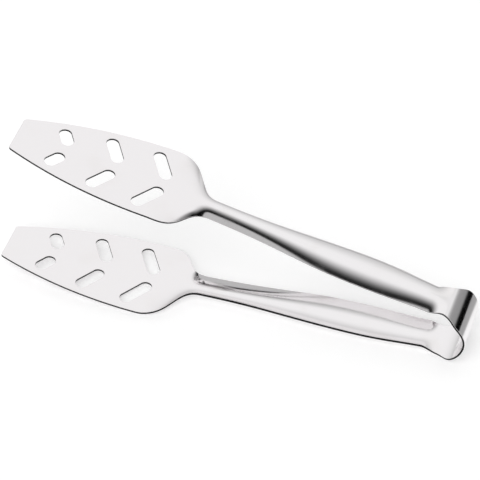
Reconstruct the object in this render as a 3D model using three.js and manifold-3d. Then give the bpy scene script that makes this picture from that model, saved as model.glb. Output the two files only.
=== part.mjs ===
// Cake tongs, pressed from one strip of stainless steel: two slotted blades on
// arched handles, joined by a springy bow. Millimetres, +Z up.
//
// The strip is drawn as a flat blank first. A station is the distance along the
// blank from the middle of the bow, and the blank is bent and arched from there.
// The tongs lie on their lower arm, with the blades towards -X and the bow
// towards +X, and the origin is under the middle of their bounding box.
import * as THREE from "three";
import { mergeVertices } from "three/addons/utils/BufferGeometryUtils.js";
import Module from "manifold-3d";

// Driving dimensions of the strip and its bends
const sheet = 1.2;
const bowRadius = 12.8; // inside of the bow
const armLength = 149.1; // straight stretch between the bow and the bend at the blade
const armAngle = THREE.MathUtils.degToRad(7.7); // arm to the middle plane of the tongs
const bladeLength = 76.9; // flat stretch beyond the bend
const bladeAngle = THREE.MathUtils.degToRad(3); // blade to the middle plane
const bladeBendRadius = 40;

// Widths of the blank
const backWidth = 26.8;
const flareWidth = 28;
const waistWidth = 18.1;
const gripWidth = 21;
const neckWidth = 12.7;
const bladeWidth = 49.6;
const tipWidth = 23.4;
const tipCornerRadius = 1.6;

// Stations of the widths near the bow, from its middle
const flareStation = 10;
const waistStation = 26;
const gripStation = 61;

// Distances along the strip from the bend at the blade
const neckSetback = 24.5; // back to the neck
const widestOffset = 2.5; // on to the widest part of the blade
const archEndOffset = 4.5; // on to the end of the handle's arch

// Depth of the arch across the handle, and where it starts and is full
const archDepth = 3.05;
const archStartStation = 19.5;
const archWaistStation = 28;

// The arch's crest rises out of the arm's straight line towards the waist, and
// sinks below it along the grip.
const waistCrest = 0.75;
const handleCrest = -0.35;
const crestStartStation = 12;
const crestFullStation = 34;
const crestFallStation = 40;
const crestLowStation = 90;

// Pairs of slanted slots in each blade
const slotWidth = 6.5;
const slotAngle = THREE.MathUtils.degToRad(58); // to the blade's centre line
const slotBridge = 6.2; // metal between the two slots of a pair
const slotMargin = 4.5; // metal between a slot and the blade's edge
const slotPitch = 24.8;
const slotTipDistance = 23.1; // from the tip to the middle of the first pair

// The springy bow ends at the flare on each side, and each arm turns there
const seamGap = 0.3;
const cutOverrun = 2;

// Steps of the mesh
const acrossSteps = 10;
const bowSteps = 8;
const shoulderSteps = 8;
const gripSteps = 7;
const handleSteps = 13;
const neckSteps = 12;
const bladeSteps = 12;
const cornerSteps = 3;
const slotEndSteps = 7;

// Control points of the outline's curves, as shares of the stretch that each spans
const easeShares = [0.5, 0.5];
const shoulderShares = [0.38, 0.32];
const gripShares = [0.35, 0.57];
const taperShares = [0.41, 0.54];
const neckShares = [0.48, 0.35];
const bulgeShare = 0.52;

// The strip turns by each bend in the order in which its stations meet them.
const bladeBend = armAngle - bladeAngle;
const bends = [
  { length: bowRadius * (Math.PI / 2 - armAngle), turn: Math.PI / 2 - armAngle },
  { length: armLength, turn: 0 },
  { length: bladeBendRadius * bladeBend, turn: bladeBend },
  { length: bladeLength, turn: 0 },
];
const tipStation = bends.reduce((sum, bend) => sum + bend.length, 0);
const bendStation = bends[0].length + armLength;
const neckStation = bendStation - neckSetback;
const widestStation = bendStation + widestOffset;
const archEndStation = bendStation + archEndOffset;

// Place and outward normal of the strip's inner face at a station, in the plane
// of the bends. The origin is the bow's centre, and negative stations mirror
// the positive ones.
function pathAt(station) {
  const place = new THREE.Vector3(bowRadius, 0, 0);
  let heading = Math.PI / 2;
  let left = Math.abs(station);
  for (const { length, turn } of bends) {
    const run = Math.min(left, length);
    const angle = (turn * run) / length;
    const chord = angle === 0 ? run : (2 * run * Math.sin(angle / 2)) / angle;
    place.x += chord * Math.cos(heading + angle / 2);
    place.z += chord * Math.sin(heading + angle / 2);
    heading += angle;
    left -= run;
  }
  const normal = new THREE.Vector3(Math.sin(heading), 0, -Math.cos(heading));
  const side = Math.sign(station) || 1;
  place.z *= side;
  normal.z *= side;
  return { place, normal };
}

// A curve of the blank's outline that starts and ends parallel to the centre line.
function easedCurve(fromStation, fromWidth, toStation, toWidth, [leave, arrive]) {
  const span = toStation - fromStation;
  return new THREE.CubicBezierCurve(
    new THREE.Vector2(fromStation, fromWidth / 2),
    new THREE.Vector2(fromStation + leave * span, fromWidth / 2),
    new THREE.Vector2(fromStation + arrive * span, toWidth / 2),
    new THREE.Vector2(toStation, toWidth / 2),
  );
}

// The blank's half width, as points of (station, half width) for each piece.
const armStation = flareStation + seamGap;
const bowEdge = easedCurve(
  0, backWidth, flareStation, flareWidth, easeShares,
).getPoints(bowSteps);
const shoulderEdge = easedCurve(
  armStation, flareWidth, waistStation, waistWidth, shoulderShares,
).getPoints(shoulderSteps);
const handleEdge = [
  ...easedCurve(waistStation, waistWidth, gripStation, gripWidth, gripShares).getPoints(gripSteps),
  ...easedCurve(gripStation, gripWidth, neckStation, neckWidth, taperShares)
    .getPoints(handleSteps)
    .slice(1),
];
const cornerStation = tipStation - tipCornerRadius;
const bladeEdge = [
  ...easedCurve(neckStation, neckWidth, widestStation, bladeWidth, neckShares).getPoints(neckSteps),
  ...new THREE.QuadraticBezierCurve(
    new THREE.Vector2(widestStation, bladeWidth / 2),
    new THREE.Vector2(widestStation + bulgeShare * (cornerStation - widestStation), bladeWidth / 2),
    new THREE.Vector2(cornerStation, tipWidth / 2),
  )
    .getPoints(bladeSteps)
    .slice(1),
  ...new THREE.EllipseCurve(
    cornerStation,
    tipWidth / 2 - tipCornerRadius,
    tipCornerRadius,
    tipCornerRadius,
    Math.PI / 2,
    0,
    true,
  )
    .getPoints(cornerSteps)
    .slice(1),
];

// Half width of the blade at a station, between the points of its edge.
function bladeHalfWidth(station) {
  const next = bladeEdge.findIndex((point) => point.x >= station);
  const from = bladeEdge[next - 1];
  const to = bladeEdge[next];
  return THREE.MathUtils.mapLinear(station, from.x, to.x, from.y, to.y);
}

// How deep the strip is arched across, and how far the crest of the arch
// stands out of the path.
function archAt(station) {
  const { smoothstep, lerp } = THREE.MathUtils;
  const place = Math.abs(station);
  const remaining = 1 - smoothstep(place, neckStation, archEndStation);
  const arched = smoothstep(place, archStartStation, archWaistStation);
  const raised = smoothstep(place, crestStartStation, crestFullStation);
  const fall = smoothstep(place, crestFallStation, crestLowStation);
  return {
    depth: archDepth * arched * remaining,
    crest: lerp(waistCrest, handleCrest, fall) * raised * remaining,
  };
}

// A stretch of the strip: a closed shell between its inner and its outer face,
// through one section for each point of the edge.
function stripGeometry(edge) {
  const row = acrossSteps + 1;
  const positions = [];
  for (const { x: station, y: halfWidth } of edge) {
    const { place, normal } = pathAt(station);
    const { depth, crest } = archAt(station);
    const inner = [];
    const outer = [];
    for (let i = 0; i < row; i++) {
      const share = (2 * i) / acrossSteps - 1;
      const lean = (2 * depth * share) / halfWidth;
      const face = place
        .clone()
        .addScaledVector(normal, crest - depth * share * share)
        .setY(halfWidth * share);
      const wall = new THREE.Vector3(normal.x, lean, normal.z).setLength(sheet);
      inner.push(face);
      outer.push(face.clone().add(wall));
    }
    positions.push(...inner, ...outer);
  }

  // Each wall is a quad whose corners run clockwise, seen from outside.
  const index = [];
  const quad = (a, b, c, d) => index.push(a, c, b, a, d, c);
  const at = (section, i, face) => section * 2 * row + face * row + i;
  for (let s = 0; s < edge.length - 1; s++) {
    for (let i = 0; i < acrossSteps; i++) {
      quad(at(s, i, 0), at(s, i + 1, 0), at(s + 1, i + 1, 0), at(s + 1, i, 0));
      quad(at(s, i, 1), at(s + 1, i, 1), at(s + 1, i + 1, 1), at(s, i + 1, 1));
    }
    quad(at(s, 0, 0), at(s + 1, 0, 0), at(s + 1, 0, 1), at(s, 0, 1));
    quad(
      at(s, acrossSteps, 0),
      at(s, acrossSteps, 1),
      at(s + 1, acrossSteps, 1),
      at(s + 1, acrossSteps, 0),
    );
  }
  const last = edge.length - 1;
  for (let i = 0; i < acrossSteps; i++) {
    quad(at(0, i, 0), at(0, i, 1), at(0, i + 1, 1), at(0, i + 1, 0));
    quad(at(last, i, 0), at(last, i + 1, 0), at(last, i + 1, 1), at(last, i, 1));
  }
  const geometry = new THREE.BufferGeometry().setFromPoints(positions);
  geometry.setIndex(index);
  return geometry;
}

// A round-ended prism that cuts one slot. It lies on the blade's inner face.
function slotGeometry(length) {
  const reach = (length - slotWidth) / 2;
  const shape = new THREE.Shape();
  shape.absarc(reach, 0, slotWidth / 2, -Math.PI / 2, Math.PI / 2, false);
  shape.absarc(-reach, 0, slotWidth / 2, Math.PI / 2, (3 * Math.PI) / 2, false);
  return new THREE.ExtrudeGeometry(shape, {
    depth: sheet + 2 * cutOverrun,
    bevelEnabled: false,
    curveSegments: slotEndSteps,
  }).translate(0, 0, -cutOverrun);
}

// Puts a prism on the inner face of the blade, at a station and a distance from
// the centre line, turned away from that line.
function placeOnBlade(geometry, station, offset, angle) {
  const { place, normal } = pathAt(station);
  const along = new THREE.Vector3(-normal.z, 0, normal.x);
  const across = new THREE.Vector3().crossVectors(normal, along);
  const frame = new THREE.Matrix4()
    .makeBasis(along, across, normal)
    .setPosition(place.setY(offset));
  return geometry.rotateZ(angle).applyMatrix4(frame);
}

const wasm = await Module();
wasm.setup();

function toSolid(geometry) {
  const bare = geometry.clone().deleteAttribute("normal").deleteAttribute("uv");
  const merged = mergeVertices(bare);
  return new wasm.Manifold(
    new wasm.Mesh({
      numProp: 3,
      vertProperties: merged.getAttribute("position").array,
      triVerts: new Uint32Array(merged.index.array),
    }),
  );
}

function toGeometry(solid) {
  const { vertProperties, triVerts } = solid.getMesh();
  return new THREE.BufferGeometry()
    .setAttribute("position", new THREE.BufferAttribute(vertProperties, 3))
    .setIndex(new THREE.BufferAttribute(triVerts, 1));
}

// The blade is the widened end of the strip, with its slots cut through. Each
// slot runs from the bridge on the centre line to the margin at the edge.
function bladeGeometry() {
  const slotPairs = 1 + Math.floor((bladeLength - slotTipDistance) / slotPitch);
  let blade = toSolid(stripGeometry(bladeEdge));
  for (let pair = 0; pair < slotPairs; pair++) {
    const station = tipStation - slotTipDistance - pair * slotPitch;
    const spread = bladeHalfWidth(station) - slotMargin - slotBridge / 2;
    const length = slotWidth + (spread - slotWidth) / Math.sin(slotAngle);
    const offset = (slotBridge + spread) / 2;
    for (const side of [-1, 1]) {
      const prism = placeOnBlade(slotGeometry(length), station, side * offset, -side * slotAngle);
      blade = blade.subtract(toSolid(prism));
    }
  }
  return toGeometry(blade);
}

const steel = { color: 0xd9d9dc, metalness: 1 };
const polished = new THREE.MeshStandardMaterial({ ...steel, roughness: 0.18 });
const satin = new THREE.MeshStandardMaterial({ ...steel, roughness: 0.32 });

function namedMesh(name, geometry, material) {
  geometry.computeVertexNormals();
  const mesh = new THREE.Mesh(geometry, material);
  mesh.name = name;
  return mesh;
}

// One arm, from its seam at the bow to the tip of its blade.
function armGroup(side) {
  const arm = new THREE.Group();
  arm.add(
    namedMesh(`${side}_shoulder`, stripGeometry(shoulderEdge), satin),
    namedMesh(`${side}_handle`, stripGeometry(handleEdge), satin),
    namedMesh(`${side}_blade`, bladeGeometry(), polished),
  );
  return arm;
}

// The bow spans both sides of the middle plane.
function bowMesh() {
  const mirrored = bowEdge
    .slice(1)
    .reverse()
    .map((point) => new THREE.Vector2(-point.x, point.y));
  return namedMesh("spring_bow", stripGeometry([...mirrored, ...bowEdge]), satin);
}

const upperArm = armGroup("upper");
const lowerArm = armGroup("lower");
lowerArm.scale.z = -1;

// The tongs rest on the crest of the lower arm, whose straight stretch lies level.
const tongs = new THREE.Group();
tongs.add(bowMesh(), upperArm, lowerArm);
tongs.rotation.y = armAngle;
tongs.updateMatrixWorld(true);
const bounds = new THREE.Box3().setFromObject(tongs, true);
const middle = bounds.getCenter(new THREE.Vector3());
tongs.position.set(-middle.x, -middle.y, -bounds.min.z);

export default tongs;
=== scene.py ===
# %% [markdown]
# Cake tongs, pressed from one strip of stainless steel. A flat blank is punched
# with slots, its handles are pressed into a shallow arch, the blades are bent
# level with each other, and the middle is bent round into a springy bow.
#
# The lesson follows the maker. One Geometry Nodes tree presses, punches and
# bends each stretch of the blank, and the finishes come after it. Every length
# is in metres, in the frame of the packed model.

from math import cos, pi, radians, sin

import bpy
from mathutils import Matrix, Vector


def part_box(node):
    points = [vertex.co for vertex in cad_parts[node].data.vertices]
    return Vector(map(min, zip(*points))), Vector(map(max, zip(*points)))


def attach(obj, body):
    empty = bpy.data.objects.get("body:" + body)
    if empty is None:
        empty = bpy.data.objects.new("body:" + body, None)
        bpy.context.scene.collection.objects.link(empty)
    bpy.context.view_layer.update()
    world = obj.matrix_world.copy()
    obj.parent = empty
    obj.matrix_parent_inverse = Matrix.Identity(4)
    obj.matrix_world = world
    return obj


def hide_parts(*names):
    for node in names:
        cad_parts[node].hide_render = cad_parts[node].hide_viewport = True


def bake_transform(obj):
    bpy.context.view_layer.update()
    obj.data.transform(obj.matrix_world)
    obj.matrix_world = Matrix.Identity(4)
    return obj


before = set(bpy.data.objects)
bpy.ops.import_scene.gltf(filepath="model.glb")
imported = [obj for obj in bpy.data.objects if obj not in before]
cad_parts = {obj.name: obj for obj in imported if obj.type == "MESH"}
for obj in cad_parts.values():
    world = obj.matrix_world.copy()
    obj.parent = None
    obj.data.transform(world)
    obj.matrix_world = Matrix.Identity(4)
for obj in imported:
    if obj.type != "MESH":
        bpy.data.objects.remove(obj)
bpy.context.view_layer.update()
MM = 0.001
DEGREES = 180 / pi
print("nodes:", sorted(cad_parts))

# %% [markdown]
# The camera stands well above the tongs, before them and to the right, and its
# long lens flattens them. It could be moved about by hand until the view looks
# right. A direction, a distance, an aim and a roll say the same in a few
# numbers, and the floor's painted pool of light is turned by the same direction.

# %% Camera
CAMERA_AZIMUTH = radians(18.93)
CAMERA_ELEVATION = radians(42.64)
CAMERA_ROLL = radians(-1.63)
CAMERA_DISTANCE = 1.482
CAMERA_AIM = Vector((0.0012, 0.0056, 0.03575))
CAMERA_LENS = 224.5
CAMERA_SENSOR = 36
CAMERA_NEAR = 0.05
CAMERA_FAR = 20


def add_camera():
    data = bpy.data.cameras.new("camera")
    data.lens = CAMERA_LENS
    data.sensor_width = CAMERA_SENSOR
    data.clip_start = CAMERA_NEAR
    data.clip_end = CAMERA_FAR
    camera = bpy.data.objects.new("camera", data)
    level = cos(CAMERA_ELEVATION)
    back = Vector(
        (
            sin(CAMERA_AZIMUTH) * level,
            -cos(CAMERA_AZIMUTH) * level,
            sin(CAMERA_ELEVATION),
        )
    )
    turn = back.to_track_quat("Z", "Y").to_matrix() @ Matrix.Rotation(CAMERA_ROLL, 3, "Z")
    place = CAMERA_AIM + CAMERA_DISTANCE * back
    camera.matrix_world = Matrix.Translation(place) @ turn.to_4x4()
    bpy.context.scene.collection.objects.link(camera)
    bpy.context.scene.camera = camera
    return camera


camera = add_camera()
print("camera at", [round(value, 4) for value in camera.matrix_world.translation])

# %% [markdown]
# The blank's sizes come first. A station is the distance along the strip from
# the middle of the bow, so every width and every bend has a station. Points of
# the bent strip could be typed instead, but a maker measures a blank flat, and
# its stations stay true when a bend changes. The bow's centre is the one place
# that is read from the packed model.

# %% Sizes of the strip
SHEET = 1.2 * MM
ARRIS = 0.12 * MM
BOW_RADIUS = 12.8 * MM
ARM_LENGTH = 149.1 * MM
ARM_ANGLE = radians(7.7)
BLADE_LENGTH = 76.9 * MM
BLADE_ANGLE = radians(3)
BEND_RADIUS = 40 * MM

BACK_WIDTH = 26.8 * MM
FLARE_WIDTH = 28 * MM
WAIST_WIDTH = 18.1 * MM
GRIP_WIDTH = 21 * MM
NECK_WIDTH = 12.7 * MM
BLADE_WIDTH = 49.6 * MM
TIP_WIDTH = 23.4 * MM
TIP_CORNER = 1.6 * MM

BOW_TURN = pi / 2 - ARM_ANGLE
BEND_TURN = ARM_ANGLE - BLADE_ANGLE
BOW_RUN = BOW_RADIUS * BOW_TURN
BEND_START = BOW_RUN + ARM_LENGTH
BEND_END = BEND_START + BEND_RADIUS * BEND_TURN
TIP = BEND_END + BLADE_LENGTH

FLARE_STATION = 10 * MM
WAIST_STATION = 26 * MM
GRIP_STATION = 61 * MM
NECK_STATION = BEND_START - 24.5 * MM
WIDEST_STATION = BEND_START + 2.5 * MM

ARCH_DEPTH = 3.05 * MM
WAIST_CREST = 0.75 * MM
HANDLE_CREST = -0.35 * MM

_, bow_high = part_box("spring_bow")
BOW_CENTRE = Vector((bow_high.x - BOW_RADIUS - SHEET, 0, BOW_RADIUS + SHEET + WAIST_CREST))
print("tip at station", round(TIP / MM, 2), "mm, bow centre", BOW_CENTRE)

# %% [markdown]
# The half outline of each stretch is a Bezier curve, drawn flat: x is the
# station and y the half width. A designer would draw it with the same few
# points. Each curve leaves and arrives along the strip, so that the widths run
# smoothly into each other, and only the blade's edge and its corner at the tip
# follow rules of their own.

# %% Half outlines
EASE = (0.5, 0.5)
SHOULDER_SHARES = (0.38, 0.32)
GRIP_SHARES = (0.35, 0.57)
TAPER_SHARES = (0.41, 0.54)
NECK_SHARES = (0.48, 0.35)
BULGE_SHARE = 0.52
ARC_SHARE = 0.55
OUTLINE_STEPS = 96


def eased(start, start_width, end, end_width, shares):
    """Four points of a curve that leaves and arrives along the strip."""
    span = end - start
    return [
        (start, start_width / 2),
        (start + shares[0] * span, start_width / 2),
        (start + shares[1] * span, end_width / 2),
        (end, end_width / 2),
    ]


def bulged(start, start_width, end, end_width, share):
    """The blade's edge: a parabola, raised to four points."""
    first = Vector((start, start_width / 2))
    last = Vector((end, end_width / 2))
    top = Vector((start + share * (end - start), start_width / 2))
    return [first, first.lerp(top, 2 / 3), last.lerp(top, 2 / 3), last]


def rounded(before, end, radius):
    """The corner at the tip, from the blade's edge to the end of the strip."""
    start = Vector(before[3])
    onward = (start - Vector(before[2])).normalized()
    return [
        start,
        start + ARC_SHARE * radius * onward,
        (end, start.y - (1 - ARC_SHARE) * radius),
        (end, start.y - radius),
    ]


BLADE_EDGE = bulged(WIDEST_STATION, BLADE_WIDTH, TIP - TIP_CORNER, TIP_WIDTH, BULGE_SHARE)
OUTLINES = {
    "shoulder": [
        eased(0, BACK_WIDTH, FLARE_STATION, FLARE_WIDTH, EASE),
        eased(FLARE_STATION, FLARE_WIDTH, WAIST_STATION, WAIST_WIDTH, SHOULDER_SHARES),
    ],
    "handle": [
        eased(WAIST_STATION, WAIST_WIDTH, GRIP_STATION, GRIP_WIDTH, GRIP_SHARES),
        eased(GRIP_STATION, GRIP_WIDTH, NECK_STATION, NECK_WIDTH, TAPER_SHARES),
    ],
    "blade": [
        eased(NECK_STATION, NECK_WIDTH, WIDEST_STATION, BLADE_WIDTH, NECK_SHARES),
        BLADE_EDGE,
        rounded(BLADE_EDGE, TIP, TIP_CORNER),
    ],
}


def draw_outline(name, pieces):
    """Joins pieces of four points each into one Bezier spline."""
    data = bpy.data.curves.new(name, "CURVE")
    data.dimensions = "3D"
    data.resolution_u = OUTLINE_STEPS
    spline = data.splines.new("BEZIER")
    spline.bezier_points.add(len(pieces))
    for number, point in enumerate(spline.bezier_points):
        before = pieces[number - 1] if number else None
        after = pieces[number] if number < len(pieces) else None
        here = after[0] if after else before[3]
        point.handle_left_type = point.handle_right_type = "FREE"
        point.co = (*here, 0)
        point.handle_left = (*(before[2] if before else here), 0)
        point.handle_right = (*(after[1] if after else here), 0)
    outline = bpy.data.objects.new(name, data)
    bpy.context.scene.collection.objects.link(outline)
    return outline


print("outlines:", {name: len(pieces) for name, pieces in OUTLINES.items()})

# %% [markdown]
# A rule such as a bend is arithmetic on each point. Nodes can do it, but a long
# chain of Math nodes is slow to write. This small helper lets a node's output
# be added and multiplied like a number, and each operation adds its node.


# %% Helper: arithmetic on a node's output
class Wire:
    """A node's output that joins others by plain arithmetic."""

    def __init__(self, tree, socket):
        self.tree = tree
        self.socket = socket

    def __add__(self, other):
        return self.tree.math("ADD", self, other)

    def __sub__(self, other):
        return self.tree.math("SUBTRACT", self, other)

    def __mul__(self, other):
        return self.tree.math("MULTIPLY", self, other)

    def __truediv__(self, other):
        return self.tree.math("DIVIDE", self, other)

    def __neg__(self):
        return self.tree.math("MULTIPLY", self, -1)

    def __radd__(self, other):
        return self.tree.math("ADD", other, self)

    def __rsub__(self, other):
        return self.tree.math("SUBTRACT", other, self)

    def __rmul__(self, other):
        return self.tree.math("MULTIPLY", other, self)

    def __rtruediv__(self, other):
        return self.tree.math("DIVIDE", other, self)


print("Wire:", Wire.__doc__)

# %% [markdown]
# The second helper holds a node tree. Each of its calls adds a node, sets it and
# links its inputs in the order in which Blender shows them. Trees for shapes and
# trees for finishes use the same calls, and they read like the rule they build.


# %% Helper: nodes and links in one call
class Tree:
    """A node tree, with short calls for its nodes and links."""

    def __init__(self, node_tree):
        self.tree = node_tree

    def join(self, value, socket):
        if isinstance(value, Wire):
            self.tree.links.new(value.socket, socket)
        elif value is not None:
            socket.default_value = value

    def node(self, kind, *values, **settings):
        node = self.tree.nodes.new(kind)
        for name, setting in settings.items():
            setattr(node, name, setting)
        for value, socket in zip(values, [s for s in node.inputs if s.enabled]):
            self.join(value, socket)
        return node

    def wire(self, kind, *values, output=0, **settings):
        node = self.node(kind, *values, **settings)
        outputs = [s for s in node.outputs if s.enabled]
        picked = outputs[output] if isinstance(output, int) else node.outputs[output]
        return Wire(self, picked)

    def math(self, operation, *values):
        return self.wire("ShaderNodeMath", *values, operation=operation)

    def vector(self, operation, *values, output=0):
        return self.wire("ShaderNodeVectorMath", *values, operation=operation, output=output)

    def combine(self, x, y, z):
        return self.wire("ShaderNodeCombineXYZ", x, y, z)

    def split(self, value):
        node = self.node("ShaderNodeSeparateXYZ", value)
        return [Wire(self, socket) for socket in node.outputs]

    def clamp(self, value, low, high):
        return self.math("MINIMUM", self.math("MAXIMUM", value, low), high)

    def smoothstep(self, value, start, end, low=0.0, high=1.0):
        return self.wire(
            "ShaderNodeMapRange", value, start, end, low, high, interpolation_type="SMOOTHSTEP"
        )

    def smoothfall(self, value, start, end):
        return self.smoothstep(value, start, end, 1.0, 0.0)


print("Tree:", Tree.__doc__)

# %% [markdown]
# Bending. The bow is an arc, the arm is straight, and a second, wide arc turns
# the blade almost level with the other one. A Curve modifier could bend a flat
# mesh along a drawn path. Here the path is a formula of the station, so a bend
# that is given another radius or angle still joins the next stretch.


# %% The bent path
def add_stations(tree, given):
    """Where the bends begin and end, from the sizes that the tree is given."""
    given["Bow Run"] = given["Bow Radius"] * BOW_TURN
    given["Bend Start"] = given["Bow Run"] + given["Arm Length"]
    given["Bend End"] = given["Bend Start"] + given["Bend Radius"] * BEND_TURN


def path_at(tree, given, station):
    """Place (x, z) of the inner face and heading, from the middle of the bow."""
    bow_radius = given["Bow Radius"]
    bend_radius = given["Bend Radius"]
    bow = tree.math("MINIMUM", station / bow_radius, BOW_TURN)
    arm = tree.clamp(station - given["Bow Run"], 0, given["Arm Length"])
    bend = tree.clamp((station - given["Bend Start"]) / bend_radius, 0, BEND_TURN)
    blade = tree.math("MAXIMUM", station - given["Bend End"], 0)
    turned = bend - ARM_ANGLE
    x = (
        bow_radius * tree.math("COSINE", bow)
        - cos(ARM_ANGLE) * arm
        - bend_radius * (tree.math("SINE", turned) + sin(ARM_ANGLE))
        - cos(BLADE_ANGLE) * blade
    )
    z = (
        bow_radius * tree.math("SINE", bow)
        + sin(ARM_ANGLE) * arm
        + bend_radius * (tree.math("COSINE", turned) - cos(ARM_ANGLE))
        + sin(BLADE_ANGLE) * blade
    )
    return x, z, bow + bend + pi / 2


def to_tongs(tree, given, x, y, z):
    """Turns the lower arm over, and lays the tongs on it."""
    up = z * given["Side"]
    return tree.combine(
        x * cos(ARM_ANGLE) + up * sin(ARM_ANGLE) + BOW_CENTRE.x,
        y * given["Side"],
        up * cos(ARM_ANGLE) - x * sin(ARM_ANGLE) + BOW_CENTRE.z,
    )


def direction(tree, given, x, y, z):
    up = z * given["Side"]
    vector = tree.combine(
        x * cos(ARM_ANGLE) + up * sin(ARM_ANGLE),
        y * given["Side"],
        up * cos(ARM_ANGLE) - x * sin(ARM_ANGLE),
    )
    return tree.vector("NORMALIZE", vector)


print("bow turns", round(BOW_TURN * DEGREES, 1), "degrees on each side")

# %% [markdown]
# Pressing. The handle's arch is a parabola across the strip that runs out where
# the blade begins, and its crest stands a little proud at the waist and sinks
# towards the grip. It could be sculpted, but a mirror finish shows every error
# of slope, and a formula gives the slope as exactly as the place.

# %% The pressed arch
ARCH_START = 19.5 * MM
ARCH_WAIST = 28 * MM
CREST_START = 12 * MM
CREST_FULL = 34 * MM
CREST_FALL = 40 * MM
CREST_LOW = 90 * MM
ARCH_END = BEND_START + 4.5 * MM
SLOPE_STEP = 0.05 * MM


def arch_at(tree, given, station):
    """Depth of the arch, and how far its crest stands out of the path."""
    run_out = tree.smoothfall(station, NECK_STATION, ARCH_END)
    arched = tree.smoothstep(station, ARCH_START, ARCH_WAIST) * run_out
    raised = tree.smoothstep(station, CREST_START, CREST_FULL) * run_out
    fall = tree.smoothstep(
        station, CREST_FALL, CREST_LOW, given["Waist Crest"], given["Handle Crest"]
    )
    return arched * given["Arch Depth"], raised * fall


def pressed_place(tree, given, station, share, half_width, height):
    """A point of the strip, at a height above its inner face."""
    x, z, heading = path_at(tree, given, station)
    depth, crest = arch_at(tree, given, station)
    lean = 2 * depth * share / half_width
    wall = height / tree.math("SQRT", 1 + lean * lean)
    rise = wall + crest - depth * share * share
    return to_tongs(
        tree,
        given,
        x + tree.math("SINE", heading) * rise,
        -(share * half_width + wall * lean),
        z - tree.math("COSINE", heading) * rise,
    )


def pressed_normal(tree, given, station, share, half_width, slope):
    """Where the strip faces: across the arch, and along its changing depth."""
    _, _, heading = path_at(tree, given, station)
    depth, _ = arch_at(tree, given, station)
    depth_on, crest_on = arch_at(tree, given, station + SLOPE_STEP)
    depth_back, crest_back = arch_at(tree, given, station - SLOPE_STEP)
    deepening = (depth_on - depth_back) / (2 * SLOPE_STEP)
    rising = (crest_on - crest_back) / (2 * SLOPE_STEP)
    lean = 2 * depth * share / half_width
    along = deepening * share * share - lean * share * slope - rising
    sine = tree.math("SINE", heading)
    cosine = tree.math("COSINE", heading)
    return direction(tree, given, sine + along * cosine, -lean, along * sine - cosine)


print("arch:", round(ARCH_DEPTH / MM, 2), "mm deep")

# %% [markdown]
# The tree itself. A box with many faces becomes one stretch of the strip: its
# rows take their station and half width from the outline, its rims are drawn
# in to break the sharp edges, and the formulas press and bend it. Cutters then
# punch the slots. A bare sheet in the middle of the metal remembers which way
# the polished face looks, and each point takes its normal from there, so that
# the mirror finish runs without a ripple from one stretch to the next. The same
# tree serves all six stretches, with the main sizes as its inputs.

# %% The tree's inputs
SLOT_WIDTH = 6.5 * MM
SLOT_ANGLE = radians(58)
SLOT_BRIDGE = 6.2 * MM
SLOT_MARGIN = 4.5 * MM
SLOT_PITCH = 24.8 * MM
SLOT_TIP_DISTANCE = 23.1 * MM
ROWS = 180
COLUMNS = 41
INPUTS = [
    ("Rows", "NodeSocketInt", ROWS),
    ("Columns", "NodeSocketInt", COLUMNS),
    ("Side", "NodeSocketFloat", 1.0),
    ("Sheet", "NodeSocketFloat", SHEET),
    ("Arris", "NodeSocketFloat", ARRIS),
    ("Bow Radius", "NodeSocketFloat", BOW_RADIUS),
    ("Arm Length", "NodeSocketFloat", ARM_LENGTH),
    ("Bend Radius", "NodeSocketFloat", BEND_RADIUS),
    ("Arch Depth", "NodeSocketFloat", ARCH_DEPTH),
    ("Waist Crest", "NodeSocketFloat", WAIST_CREST),
    ("Handle Crest", "NodeSocketFloat", HANDLE_CREST),
    ("Slot Pairs", "NodeSocketInt", 0),
    ("Slot Width", "NodeSocketFloat", SLOT_WIDTH),
    ("Slot Angle", "NodeSocketFloat", SLOT_ANGLE),
    ("Slot Bridge", "NodeSocketFloat", SLOT_BRIDGE),
    ("Slot Margin", "NodeSocketFloat", SLOT_MARGIN),
    ("Slot Pitch", "NodeSocketFloat", SLOT_PITCH),
    ("First Slot Station", "NodeSocketFloat", TIP - SLOT_TIP_DISTANCE),
    ("Face Finish", "NodeSocketMaterial", None),
    ("Shaded Edge Finish", "NodeSocketMaterial", None),
]


def new_tree(name, inputs):
    node_tree = bpy.data.node_groups.new(name, "GeometryNodeTree")
    node_tree.interface.new_socket("Outline", in_out="INPUT", socket_type="NodeSocketGeometry")
    for label, kind, default in inputs:
        socket = node_tree.interface.new_socket(label, in_out="INPUT", socket_type=kind)
        if default is not None:
            socket.default_value = default
    node_tree.interface.new_socket("Mesh", in_out="OUTPUT", socket_type="NodeSocketGeometry")
    tree = Tree(node_tree)
    start = tree.node("NodeGroupInput")
    given = {socket.name: Wire(tree, socket) for socket in start.outputs if socket.name}
    return tree, given


print("inputs:", [label for label, _, _ in INPUTS])

# %% [markdown]
# Both the metal and the bare sheet read the drawn outline at each row: where
# the row is along the strip, how wide it is there, and which way the edge runs.
# Attributes are little notes that each point carries from node to node.


# %% Reading the outline, and notes on points
def outline_at(tree, outline, factor):
    """Station, half width, edge normal and slope of the outline at a factor."""
    sample = tree.node("GeometryNodeSampleCurve", mode="FACTOR", use_all_curves=True)
    tree.join(outline, sample.inputs["Curves"])
    tree.join(factor, sample.inputs["Factor"])
    station, half_width, _ = tree.split(Wire(tree, sample.outputs["Position"]))
    along, across, _ = tree.split(Wire(tree, sample.outputs["Tangent"]))
    return station, half_width, -across, along, across / along


def store(tree, geometry, name, value, kind="FLOAT_VECTOR"):
    node = tree.node("GeometryNodeStoreNamedAttribute", data_type=kind, domain="POINT")
    tree.join(geometry, node.inputs["Geometry"])
    tree.join(name, node.inputs["Name"])
    tree.join(value, node.inputs["Value"])
    return Wire(tree, node.outputs["Geometry"])


def stored(tree, name, kind="FLOAT_VECTOR"):
    return tree.wire("GeometryNodeInputNamedAttribute", name, data_type=kind)


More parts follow.
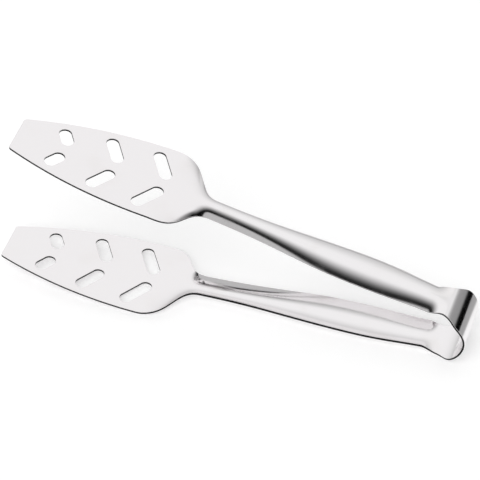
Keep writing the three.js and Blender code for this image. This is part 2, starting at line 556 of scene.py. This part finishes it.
print("outline_at gives:", outline_at.__doc__)

# %% [markdown]
# The bare sheet has no thickness. It lies in the middle of the metal and only
# carries notes: which way its face looks, where each point was when the blank
# was still flat, and how far off the finished face is. The metal is the closed
# solid round it, and its rims step in by the arris, as they do once the burr is
# rubbed off. Solidify could thicken the sheet, but a box with four layers has
# the points that those steps need.

# %% Bare sheet and pressed metal
LAYERS = 4
ON_FACE = 0.4


def bare_sheet(tree, given):
    """The middle of the metal. It remembers its normal, its flat place and its reach."""
    grid = tree.wire("GeometryNodeMeshGrid", 1.0, 1.0, given["Rows"], given["Columns"])
    x, y, _ = tree.split(tree.wire("GeometryNodeInputPosition"))
    station, half_width, _, _, slope = outline_at(tree, given["Outline"], x + 0.5)
    share = 2 * y
    normal = pressed_normal(tree, given, station, share, half_width, slope)
    place = pressed_place(tree, given, station, share, half_width, given["Sheet"] * 0.5)
    face = pressed_place(tree, given, station, share, half_width, given["Sheet"])
    outward = tree.vector("SUBTRACT", face, place)
    reach = tree.vector("DOT_PRODUCT", outward, normal, output="Value")
    grid = store(tree, grid, "faces", normal)
    grid = store(tree, grid, "flat", tree.combine(station, share * half_width, 0.0))
    grid = store(tree, grid, "reach", reach, "FLOAT")
    return tree.wire("GeometryNodeSetPosition", grid, None, place)


def pressed_metal(tree, given):
    """The stretch as a closed solid, with its rims drawn in."""
    box = tree.wire(
        "GeometryNodeMeshCube", (1.0, 1.0, 1.0), given["Rows"], given["Columns"], LAYERS
    )
    x, y, z = tree.split(tree.wire("GeometryNodeInputPosition"))
    station, half_width, edge_along, edge_across, _ = outline_at(
        tree, given["Outline"], x + 0.5
    )
    on_face = tree.math("GREATER_THAN", tree.math("ABSOLUTE", z), ON_FACE)
    inset = on_face * given["Arris"]
    share = 2 * y * (half_width - inset * edge_across) / half_width
    level = tree.math("SIGN", z)
    reach = given["Sheet"] * 0.5 - given["Arris"] * (1 - on_face)
    height = given["Sheet"] * 0.5 + level * reach
    row = station - inset * edge_along
    place = pressed_place(tree, given, row, share, half_width, height)
    return tree.wire("GeometryNodeSetPosition", box, None, place)


print("sheet", round(SHEET / MM, 2), "mm thick, arris", round(ARRIS / MM, 2), "mm")

# %% [markdown]
# The punch. On the real blank a tool with round ends cuts each slot in one
# stroke. Here it starts as a cylinder whose ends flare, so that it breaks the
# slot's edges too, and each point notes which half of the punch it is on. How
# long a slot is follows from the blade's width at its station. That width could
# be worked out from the outline's formulas, but a ray across the blank finds it
# for any outline.

# %% Punch and blade width
CUTTER_OVERRUN = 1 * MM
CUTTER_SIDES = 40
CUTTER_SEGMENTS = 3
RIBBON_HEIGHT = 2 * MM


def half_width_at(tree, outline, station):
    """A ray across the blank finds its edge."""
    wire = tree.wire("GeometryNodeCurveToMesh", outline)
    ribbon = tree.node("GeometryNodeExtrudeMesh", mode="EDGES")
    tree.join(wire, ribbon.inputs["Mesh"])
    tree.join(tree.combine(0.0, 0.0, 1.0), ribbon.inputs["Offset"])
    tree.join(RIBBON_HEIGHT, ribbon.inputs["Offset Scale"])
    ray = tree.node("GeometryNodeRaycast")
    tree.join(Wire(tree, ribbon.outputs["Mesh"]), ray.inputs["Target Geometry"])
    tree.join(tree.combine(station, 0.0, RIBBON_HEIGHT / 2), ray.inputs["Source Position"])
    tree.join((0.0, 1.0, 0.0), ray.inputs["Ray Direction"])
    tree.join(BLADE_WIDTH, ray.inputs["Ray Length"])
    return tree.split(Wire(tree, ray.outputs["Hit Position"]))[1]


def round_cutter(tree, given):
    """A round punch whose ends flare, so that it breaks the slot's edges too."""
    mesh = tree.node("GeometryNodeMeshCylinder", fill_type="NGON")
    sizes = {
        "Vertices": CUTTER_SIDES,
        "Side Segments": CUTTER_SEGMENTS,
        "Radius": 1.0,
        "Depth": 1.0,
    }
    for name, value in sizes.items():
        tree.join(value, mesh.inputs[name])
    turn = tree.node("GeometryNodeTransform")
    tree.join(Wire(tree, mesh.outputs["Mesh"]), turn.inputs["Geometry"])
    tree.join((0.0, 0.0, pi / CUTTER_SIDES), turn.inputs["Rotation"])
    x, y, z = tree.split(tree.wire("GeometryNodeInputPosition"))
    flared = tree.math("GREATER_THAN", tree.math("ABSOLUTE", z), ON_FACE)
    turned = Wire(tree, turn.outputs["Geometry"])
    cutter = store(tree, turned, "end", tree.math("SIGN", x), "FLOAT")
    overrun = flared * CUTTER_OVERRUN
    radius = given["Slot Width"] * 0.5 + overrun + flared * given["Arris"]
    height = given["Sheet"] * 0.5 - given["Arris"] * (1 - flared) + overrun
    place = tree.combine(x * radius, y * radius, tree.math("SIGN", z) * height)
    return tree.wire("GeometryNodeSetPosition", cutter, None, place)


print("punch:", round(SLOT_WIDTH / MM, 2), "mm wide, with", CUTTER_SIDES, "sides")

# %% [markdown]
# The slots slant to both sides in pairs, like a herringbone. Instance on Points
# puts a punch at each and turns it to its slant. The instances are made real,
# the two halves of each slide apart to the slot's length, and a boolean cuts
# them all at once. The slots could be gaps in the strip's own faces, but then
# a slot could not be moved or turned without drawing the strip again.


# %% Slot cutters
def slot_cutters(tree, given):
    """Pairs of punches, from the tip towards the handle."""
    index = tree.wire("GeometryNodeInputIndex")
    pair = tree.math("FLOOR", index * 0.5)
    hand = (index - 2 * pair) * 2 - 1
    station = given["First Slot Station"] - given["Slot Pitch"] * pair
    edge = half_width_at(tree, given["Outline"], station)
    spread = edge - given["Slot Margin"] - given["Slot Bridge"] * 0.5
    slant_sine = tree.math("SINE", given["Slot Angle"])
    slant_cosine = tree.math("COSINE", given["Slot Angle"])
    reach = (spread - given["Slot Width"]) / (2 * slant_sine)
    offset = hand * (spread + given["Slot Bridge"]) * 0.5
    x, z, heading = path_at(tree, given, station)
    sine = tree.math("SINE", heading)
    cosine = tree.math("COSINE", heading)
    middle = given["Sheet"] * 0.5
    place = to_tongs(tree, given, x + sine * middle, offset, z - cosine * middle)
    along = direction(
        tree, given, cosine * slant_cosine, hand * slant_sine, sine * slant_cosine
    )
    normal = direction(tree, given, sine, 0.0, -cosine)
    points = tree.wire("GeometryNodePoints", given["Slot Pairs"] * 2, place, MM)
    points = store(tree, points, "slide", tree.vector("SCALE", along, reach))
    turn = tree.wire(
        "FunctionNodeAxesToRotation", normal, along, primary_axis="Z", secondary_axis="X"
    )
    spread_out = tree.node("GeometryNodeInstanceOnPoints")
    tree.join(points, spread_out.inputs["Points"])
    tree.join(round_cutter(tree, given), spread_out.inputs["Instance"])
    tree.join(turn, spread_out.inputs["Rotation"])
    cutters = tree.wire(
        "GeometryNodeRealizeInstances", Wire(tree, spread_out.outputs["Instances"])
    )
    shift = tree.vector("SCALE", stored(tree, "slide"), stored(tree, "end", "FLOAT"))
    return tree.wire("GeometryNodeSetPosition", cutters, None, None, shift)


def punch(tree, metal, cutters):
    node = tree.node("GeometryNodeMeshBoolean", operation="DIFFERENCE", solver="EXACT")
    tree.join(metal, node.inputs["Mesh 1"])
    tree.join(cutters, node.inputs["Mesh 2"])
    return Wire(tree, node.outputs["Mesh"])


print("slots every", round(SLOT_PITCH / MM, 1), "mm, at", round(SLOT_ANGLE * DEGREES), "degrees")

# %% [markdown]
# The last step of the tree. A boolean leaves long thin faces whose own normals
# would show in a mirror finish, so each point asks the bare sheet which way the
# metal looks there. Points deep inside the thickness belong to the cut walls,
# and these get the rough finish of a punched edge, painted nearly black as
# shade. How deep a point lies is a share: zero in the middle of the metal, and
# one on its faces.

# %% Finish and whole tree
ON_WALL = 0.5


def nearest(tree, sheet, value, kind="FLOAT_VECTOR"):
    node = tree.node("GeometryNodeSampleNearestSurface", data_type=kind)
    tree.join(sheet, node.inputs["Mesh"])
    tree.join(value, node.inputs["Value"])
    return Wire(tree, node.outputs["Value"])


def finish_metal(tree, metal, sheet, given):
    """Notes each point's polished normal and flat place, and sets the finishes."""
    position = tree.wire("GeometryNodeInputPosition")
    faces = nearest(tree, sheet, stored(tree, "faces"))
    reach = nearest(tree, sheet, stored(tree, "reach", "FLOAT"), "FLOAT")
    above = tree.vector("SUBTRACT", position, nearest(tree, sheet, position))
    height = tree.vector("DOT_PRODUCT", above, faces, output="Value") / reach
    depth = tree.math("ABSOLUTE", height)
    metal = store(tree, metal, "flat", nearest(tree, sheet, stored(tree, "flat")))
    own = tree.wire("GeometryNodeInputNormal")
    outward = tree.vector("DOT_PRODUCT", own, faces, output="Value")
    level = tree.vector("SUBTRACT", own, tree.vector("SCALE", faces, outward))
    square = tree.vector("SCALE", faces, tree.math("SIGN", height))
    on_face = tree.math("GREATER_THAN", depth, 1 - given["Arris"] / given["Sheet"])
    facing = tree.wire("ShaderNodeMix", on_face, level, square, data_type="VECTOR")
    polished = tree.vector("NORMALIZE", facing)
    metal = store(tree, metal, "polished", polished)
    metal = tree.wire("GeometryNodeRealizeInstances", metal)
    metal = tree.wire("GeometryNodeSetMaterial", metal, True, given["Face Finish"])
    on_wall = tree.math("LESS_THAN", depth, ON_WALL)
    return tree.wire("GeometryNodeSetMaterial", metal, on_wall, given["Shaded Edge Finish"])


def press_and_bend():
    tree, given = new_tree("press_and_bend", INPUTS)
    add_stations(tree, given)
    sheet = bare_sheet(tree, given)
    metal = punch(tree, pressed_metal(tree, given), slot_cutters(tree, given))
    end = tree.node("NodeGroupOutput")
    tree.join(finish_metal(tree, metal, sheet, given), end.inputs["Mesh"])
    return tree.tree


PRESS = press_and_bend()
print("press_and_bend has", len(PRESS.nodes), "nodes")

# %% [markdown]
# Finishes. Pressed stainless steel is never a perfect mirror: the polishing
# belt leaves fine streaks along the strip, the press leaves it faintly uneven,
# and hands leave smudges. A picture could hold these marks, but noise has no
# seam and stays sharp close up. Each mark is a node group, built once. They read
# the flat place that the tree noted, so that the streaks follow the bent metal.
# Each noise is given a scale, a detail and a roughness.

# %% Node groups for steel
STREAK_NOISE = (1.0, 3.0, 0.6)
WAVE_NOISE = (1.0, 1.5, 0.45)
SMUDGE_NOISE = (1.0, 4.0, 0.55)
SMUDGE_START = 0.75
SMUDGE_FULL = 0.95
SMUDGE_GROWTH = 0.5
SMUDGE_COVER = 0.5


def new_group(name, inputs, output):
    """An empty shader group, with the wires of its inputs and its output node."""
    group = bpy.data.node_groups.new(name, "ShaderNodeTree")
    group.interface.new_socket("Place", in_out="INPUT", socket_type="NodeSocketVector")
    for label, default in inputs.items():
        socket = group.interface.new_socket(label, in_out="INPUT", socket_type="NodeSocketFloat")
        socket.default_value = default
    group.interface.new_socket(output, in_out="OUTPUT", socket_type="NodeSocketFloat")
    tree = Tree(group)
    start = tree.node("NodeGroupInput")
    given = {socket.name: Wire(tree, socket) for socket in start.outputs if socket.name}
    return tree, given, tree.node("NodeGroupOutput")


def belt_streaks():
    """Fine lines along the strip: a noise that is stretched along it."""
    tree, given, end = new_group("belt_streaks", {"Length": 30.0, "Width": 0.3}, "Streak")
    x, y, z = tree.split(given["Place"])
    place = tree.combine(x / given["Length"], y / given["Width"], z)
    tree.join(tree.wire("ShaderNodeTexNoise", place, *STREAK_NOISE), end.inputs["Streak"])
    return tree.tree


def press_waves():
    """The press leaves the metal faintly uneven."""
    tree, given, end = new_group("press_waves", {"Size": 8.0}, "Wave")
    place = tree.vector("SCALE", given["Place"], 1.0 / given["Size"])
    tree.join(tree.wire("ShaderNodeTexNoise", place, *WAVE_NOISE), end.inputs["Wave"])
    return tree.tree


def hand_smudges():
    """Soft patches where the polish is a little duller."""
    sizes = {"Size": 14.0, "Cover": SMUDGE_COVER}
    tree, given, end = new_group("hand_smudges", sizes, "Smudge")
    place = tree.vector("SCALE", given["Place"], 1.0 / given["Size"])
    cloud = tree.wire("ShaderNodeTexNoise", place, *SMUDGE_NOISE)
    grown = given["Cover"] * SMUDGE_GROWTH
    patch = tree.smoothstep(cloud, SMUDGE_START - grown, SMUDGE_FULL - grown)
    tree.join(patch, end.inputs["Smudge"])
    return tree.tree


STREAKS = belt_streaks()
WAVES = press_waves()
SMUDGES = hand_smudges()
print("groups:", [group.name for group in (STREAKS, WAVES, SMUDGES)])

# %% [markdown]
# Every finish is a metal whose colour, shine and bumps come from these groups,
# so a few small helpers make what the finishes have in common. Heights are in
# microns, so the bump node's distance is one micron.

# %% Helpers for the finishes
MICRON = 0.001 * MM


def flat_place(tree):
    """The place on the flat blank, in millimetres."""
    note = tree.wire("ShaderNodeAttribute", output="Vector", attribute_name="flat")
    return tree.vector("SCALE", note, 1 / MM)


def add_bump(tree, shader, microns):
    bump = tree.node("ShaderNodeBump")
    tree.join(MICRON, bump.inputs["Distance"])
    tree.join(microns, bump.inputs["Height"])
    tree.join(Wire(tree, bump.outputs["Normal"]), shader.inputs["Normal"])


def colour_between(tree, factor, first, second):
    return tree.wire("ShaderNodeMix", factor, (*first, 1), (*second, 1), data_type="RGBA")


def new_metal(name):
    material = bpy.data.materials.new(name)
    material.use_nodes = True
    shader = material.node_tree.nodes["Principled BSDF"]
    shader.inputs["Metallic"].default_value = 1
    return material, Tree(material.node_tree), shader


print("bump heights are in steps of", MICRON, "m")

# %% [markdown]
# The handles are belted to a satin shine, and the blades are smoother. Both are
# the same recipe with other amounts, so one function makes them from a list of
# sizes in millimetres, heights in microns, and shares of dullness.


# %% Satin and polished steel
def polished_metal(name, look):
    """Belted steel, whose shine varies with its streaks and smudges."""
    material, tree, shader = new_metal(name)
    place = flat_place(tree)
    streak = tree.wire(
        "ShaderNodeGroup", place, look["streak_length"], look["streak_width"], node_tree=STREAKS
    )
    wave = tree.wire("ShaderNodeGroup", place, look["wave_size"], node_tree=WAVES)
    smudge = tree.wire(
        "ShaderNodeGroup", place, look["smudge_size"], SMUDGE_COVER, node_tree=SMUDGES
    )
    colour = colour_between(tree, smudge, look["colour"], look["smudge_colour"])
    tree.join(colour, shader.inputs["Base Color"])
    dulled = streak * look["streak_dullness"]
    smudged = smudge * look["smudge_dullness"]
    tree.join(look["roughness"] + dulled + smudged, shader.inputs["Roughness"])
    add_bump(tree, shader, streak * look["streak_height"] + wave * look["wave_height"])
    return material


SATIN = polished_metal(
    "satin_steel",
    dict(
        colour=(0.865, 0.848, 0.856),
        smudge_colour=(0.85, 0.83, 0.832),
        roughness=0.09,
        streak_length=45.0,
        streak_width=0.25,
        streak_dullness=0.06,
        streak_height=0.35,
        wave_size=9.0,
        wave_height=14.0,
        smudge_size=16.0,
        smudge_dullness=0.05,
    ),
)
POLISHED = polished_metal(
    "polished_steel",
    dict(
        colour=(0.862, 0.842, 0.85),
        smudge_colour=(0.848, 0.824, 0.828),
        roughness=0.09,
        streak_length=60.0,
        streak_width=0.35,
        streak_dullness=0.03,
        streak_height=0.12,
        wave_size=20.0,
        wave_height=6.0,
        smudge_size=24.0,
        smudge_dullness=0.04,
    ),
)
print("steels:", SATIN.name, "and", POLISHED.name)

# %% [markdown]
# The punched edge is rough, with lines across it where the die tore
# through the metal, and its near-black colour is painted shade: the dark line
# that the cut walls show round each slot. The flat place is the same all
# through the thickness, so a noise that reads it draws such lines by itself.
# The edge could be as bright as the faces, but the thin painted dark line round
# each slot makes the sheet look cut.

# %% Punched edge, with painted shade
TORN_SIZE = 0.5
# The cut walls' near-black colours are painted shade, and the tear lines lighten them a little.
TORN_RANGE = (0.35, 0.65)
SHADED_TORN_DARK = (0.008, 0.008, 0.0085)
SHADED_TORN_LIGHT = (0.03, 0.03, 0.031)
TORN_ROUGHNESS = 0.38
TORN_DULLNESS = 0.2
TORN_HEIGHT = 12.0


def punched_edge_with_painted_shade():
    """Torn metal with lines through the thickness, painted nearly black as shade."""
    material, tree, shader = new_metal("punched_edge_with_painted_shade")
    torn = tree.wire(
        "ShaderNodeGroup", flat_place(tree), TORN_SIZE, TORN_SIZE, node_tree=STREAKS
    )
    lightened = tree.smoothstep(torn, *TORN_RANGE)
    colour = colour_between(tree, lightened, SHADED_TORN_DARK, SHADED_TORN_LIGHT)
    tree.join(colour, shader.inputs["Base Color"])
    tree.join(TORN_ROUGHNESS + torn * TORN_DULLNESS, shader.inputs["Roughness"])
    add_bump(tree, shader, torn * TORN_HEIGHT)
    return material


SHADED_CUT_EDGE = punched_edge_with_painted_shade()
print("edge:", SHADED_CUT_EDGE.name)

# %% [markdown]
# Each arm is pressed in three stretches, as one mesh each. The modifier sits on
# the drawn outline, and its inputs are set by their identifiers. It could stay
# live, but other programs need a plain mesh. So its result is turned into one,
# whose points take the polished normals, and then the outline and its modifier
# are thrown away.

# %% Pressing a stretch
STRETCHES = {
    "shoulder": dict(rows=90, pairs=0, finish=SATIN),
    "handle": dict(rows=ROWS, pairs=0, finish=SATIN),
    "blade": dict(rows=150, pairs=3, finish=POLISHED),
}


def set_inputs(modifier, values):
    """Sets each input by its socket's identifier."""
    for item in modifier.node_group.interface.items_tree:
        if item.item_type == "SOCKET" and item.in_out == "INPUT" and item.name in values:
            modifier[item.identifier] = values[item.name]


def press(name, stretch, side):
    """One stretch of one arm, as a plain mesh."""
    made = STRETCHES[stretch]
    outline = draw_outline(name + "_outline", OUTLINES[stretch])
    modifier = outline.modifiers.new("press_and_bend", "NODES")
    modifier.node_group = PRESS
    values = {
        "Rows": made["rows"],
        "Side": float(side),
        "Slot Pairs": made["pairs"],
        "Face Finish": made["finish"],
        # The cut walls get the edge material, which is painted nearly black as shade.
        "Shaded Edge Finish": SHADED_CUT_EDGE,
    }
    set_inputs(modifier, values)
    graph = bpy.context.evaluated_depsgraph_get()
    mesh = bpy.data.meshes.new_from_object(outline.evaluated_get(graph), depsgraph=graph)
    outline.modifiers.remove(modifier)
    bpy.data.objects.remove(outline)
    mesh.name = name
    polished = [Vector(item.vector) for item in mesh.attributes["polished"].data]
    mesh.shade_smooth()
    mesh.normals_split_custom_set_from_vertices(polished)
    mesh.attributes.remove(mesh.attributes["polished"])
    piece = bpy.data.objects.new(name, mesh)
    bpy.context.scene.collection.objects.link(piece)
    print(name, len(mesh.vertices), "points,", len(mesh.polygons), "faces")
    return piece


# %% [markdown]
# The two arms. The bow bends when the handles are squeezed, so each half of it
# is one mesh with its shoulder. A plain hinge at their seam would move as far,
# but the real strip has no seam, and a crease would show in the polish. The
# grip and the blade simply ride on their arm.

# %% Two arms on one bow
ARMS = {"upper": 1, "lower": -1}


def bend_place(station, side):
    """Where the strip's inner face is near the bow, in the frame of the tongs."""
    angle = min(station / BOW_RADIUS, BOW_TURN)
    arm = max(station - BOW_RUN, 0)
    x = BOW_RADIUS * cos(angle) - cos(ARM_ANGLE) * arm
    z = side * (BOW_RADIUS * sin(angle) + sin(ARM_ANGLE) * arm)
    turn = Matrix.Rotation(ARM_ANGLE, 3, "Y")
    return BOW_CENTRE + turn @ Vector((x, 0, z))


for arm, side in ARMS.items():
    shoulder = press(arm + "_bow_half", "shoulder", side)
    bend_place(0, side)
    bend_place(WAIST_STATION - MM, side)
    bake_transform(shoulder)
    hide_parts("spring_bow", arm + "_shoulder")
    handle = press(arm + "_grip", "handle", side)
    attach(handle, arm + "_arm")
    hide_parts(arm + "_handle")
    blade = press(arm + "_slotted_blade", "blade", side)
    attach(blade, arm + "_arm")
    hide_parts(arm + "_blade")
print("arms:", list(ARMS))

# %% [markdown]
# The floor is pale paper without any gloss.
# A pool of light is painted into
# its colour: white under the tongs, fading out beyond them, and the paper is
# plain light grey from there on, so that the steel has something darker to
# show at its edges. A stronger lamp could whiten it too, but colours look as
# they are written only at a plain level of light. So the last bit of white is
# a faint glow in the same painted pool, which shows to the camera and in what
# reflects or refracts the paper, and the paper still takes a soft shadow.

# %% Floor, with a painted pool of light
FLOOR_REACH = 4
PAINTED_POOL_WHITE = 0.75
PAPER_GREY = 0.42
PAPER_GLOW = 0.33
POOL_CENTRE = (-0.011, 0.042)
POOL_HALF = (0.138, 0.31)
POOL_FADE = (1.0, 1.2)
POOL_SQUARENESS = 4.0
WHITE = (1, 1, 1, 1)


def painted_pool_of_light(tree):
    """A painted pool of light: one under the tongs, falling to zero beyond a rounded square."""
    x, y, _ = tree.split(tree.wire("ShaderNodeTexCoord", output="Object"))
    east = x - POOL_CENTRE[0]
    north = y - POOL_CENTRE[1]
    across = (east * cos(CAMERA_AZIMUTH) + north * sin(CAMERA_AZIMUTH)) / POOL_HALF[0]
    along = (north * cos(CAMERA_AZIMUTH) - east * sin(CAMERA_AZIMUTH)) / POOL_HALF[1]
    powers = [tree.math("POWER", reach, POOL_SQUARENESS) for reach in (across, along)]
    distance = tree.math("POWER", powers[0] + powers[1], 1 / POOL_SQUARENESS)
    return tree.smoothfall(distance, *POOL_FADE)


def paper():
    material = bpy.data.materials.new("paper_with_painted_pool")
    material.use_nodes = True
    tree = Tree(material.node_tree)
    shader = material.node_tree.nodes["Principled BSDF"]
    shader.inputs["Roughness"].default_value = 1
    shader.inputs["Specular IOR Level"].default_value = 0
    shader.inputs["Emission Color"].default_value = WHITE
    # A pool of light is painted into the paper's colour and its glow under the tongs.
    painted_pool = painted_pool_of_light(tree)
    colour = colour_between(tree, painted_pool, (PAPER_GREY,) * 3, (PAINTED_POOL_WHITE,) * 3)
    tree.join(colour, shader.inputs["Base Color"])
    rays = tree.node("ShaderNodeLightPath")
    shown = Wire(tree, rays.outputs["Is Camera Ray"])
    for kind in ("Is Glossy Ray", "Is Transmission Ray"):
        shown = tree.math("MAXIMUM", shown, Wire(tree, rays.outputs[kind]))
    tree.join(shown * painted_pool * PAPER_GLOW, shader.inputs["Emission Strength"])
    return material


def add_floor():
    mesh = bpy.data.meshes.new("floor")
    reach = FLOOR_REACH
    corners = [(-reach, -reach, 0), (reach, -reach, 0), (reach, reach, 0), (-reach, reach, 0)]
    mesh.from_pydata(corners, [], [(0, 1, 2, 3)])
    mesh.materials.append(paper())
    floor = bpy.data.objects.new("floor", mesh)
    bpy.context.scene.collection.objects.link(floor)


add_floor()
print("floor reaches", FLOOR_REACH, "m each way")

# %% [markdown]
# Steel shows the room more than itself, so the room is built as a photographer
# would light it. A broad softbox stands behind the tongs and fades out just
# past the zenith, a paler wall stands in front, and the dark gap between them
# draws the long stripe on the upper handle. A dark screen hangs on the right,
# and a dark flag stands behind the bow with a grey veil above it. A picture of a
# real room would light steel as well, but it could not be read or changed like
# this. All limits are angles in degrees: tilts from the zenith towards the
# front, azimuths from the right towards the back, and heights.

# %% World
SOFTBOX_FADE = (-27.0, 13.0)
WALL_RISE = (17.5, 21.0)
WALL_LEVEL = 0.55
WALL_FILL = (47.0, 62.0)
GAP_LEVEL = 0.006
HORIZON_FADE = (-100.0, -45.0)
HORIZON_LEVEL = 0.62
FLAG_START = (8.0, 20.0)
FLAG_END = (57.0, 67.0)
FLAG_TOP = (16.0, 24.0)
VEIL_END = (63.0, 73.0)
VEIL_BASE = (14.0, 24.0)
VEIL_TOP = (34.5, 45.5)
VEIL_DEPTH = 0.665
SCREEN_START = (-40.0, -28.0)
SCREEN_END = (10.0, 30.0)
SCREEN_BASE = (10.0, 18.0)
SCREEN_TOP = (26.0, 58.0)


def between(tree, value, rise, fall):
    """One between two soft limits, and zero outside them."""
    return tree.smoothstep(value, *rise) * tree.smoothfall(value, *fall)


def add_world():
    world = bpy.data.worlds.new("studio")
    bpy.context.scene.world = world
    world.use_nodes = True
    tree = Tree(world.node_tree)
    background = world.node_tree.nodes["Background"]
    x, y, z = tree.split(tree.wire("ShaderNodeTexCoord", output="Generated"))
    tilt = tree.math("ARCTAN2", -y, z) * DEGREES
    softbox = tree.smoothstep(tilt, *SOFTBOX_FADE, 1.0, GAP_LEVEL)
    horizon = tree.smoothstep(tilt, *HORIZON_FADE, HORIZON_LEVEL, 1.0)
    wall = tree.wire("ShaderNodeMapRange", tilt, *WALL_RISE, 0.0, WALL_LEVEL)
    fill = tree.smoothstep(tilt, *WALL_FILL, 0.0, 1 - WALL_LEVEL)
    azimuth = tree.math("ARCTAN2", y, x) * DEGREES
    height = tree.math("ARCSINE", z) * DEGREES
    flag_width = between(tree, azimuth, FLAG_START, FLAG_END)
    flag = flag_width * tree.smoothfall(height, *FLAG_TOP)
    veil_width = between(tree, azimuth, FLAG_START, VEIL_END)
    veil = veil_width * between(tree, height, VEIL_BASE, VEIL_TOP) * VEIL_DEPTH
    right = tree.smoothstep(azimuth, *SCREEN_START) * tree.smoothstep(height, *SCREEN_BASE)
    screen_width = right * tree.smoothfall(azimuth, *SCREEN_END)
    screen = screen_width * tree.smoothfall(height, *SCREEN_TOP)
    room = softbox * horizon + (wall + fill) * (1 - right)
    level = room * (1 - flag) * (1 - veil) * (1 - screen)
    background.inputs["Color"].default_value = WHITE
    tree.join(level, background.inputs["Strength"])
    return world


world = add_world()
bpy.context.scene.view_settings.view_transform = "Standard"
print("world:", world.name)

# %% [markdown]
# One very soft lamp, high up on the camera's side, lifts the paper and fills
# the shadow that the softbox casts forwards. The world alone could light the
# paper, but it has to stay dark in places for the steel's sake. The lamp is
# hidden from glossy rays, because a bright disc would show in the steel.

# %% Lamp
LAMP_TILT = radians(35)
LAMP_SPREAD = radians(60)
LAMP_ENERGY = 1.45


def add_lamp():
    data = bpy.data.lights.new("soft_sun", "SUN")
    data.energy = LAMP_ENERGY
    data.angle = LAMP_SPREAD
    lamp = bpy.data.objects.new("soft_sun", data)
    lamp.rotation_euler.x = LAMP_TILT
    lamp.visible_glossy = False
    bpy.context.scene.collection.objects.link(lamp)
    return lamp


lamp = add_lamp()
print("lamp energy", lamp.data.energy)
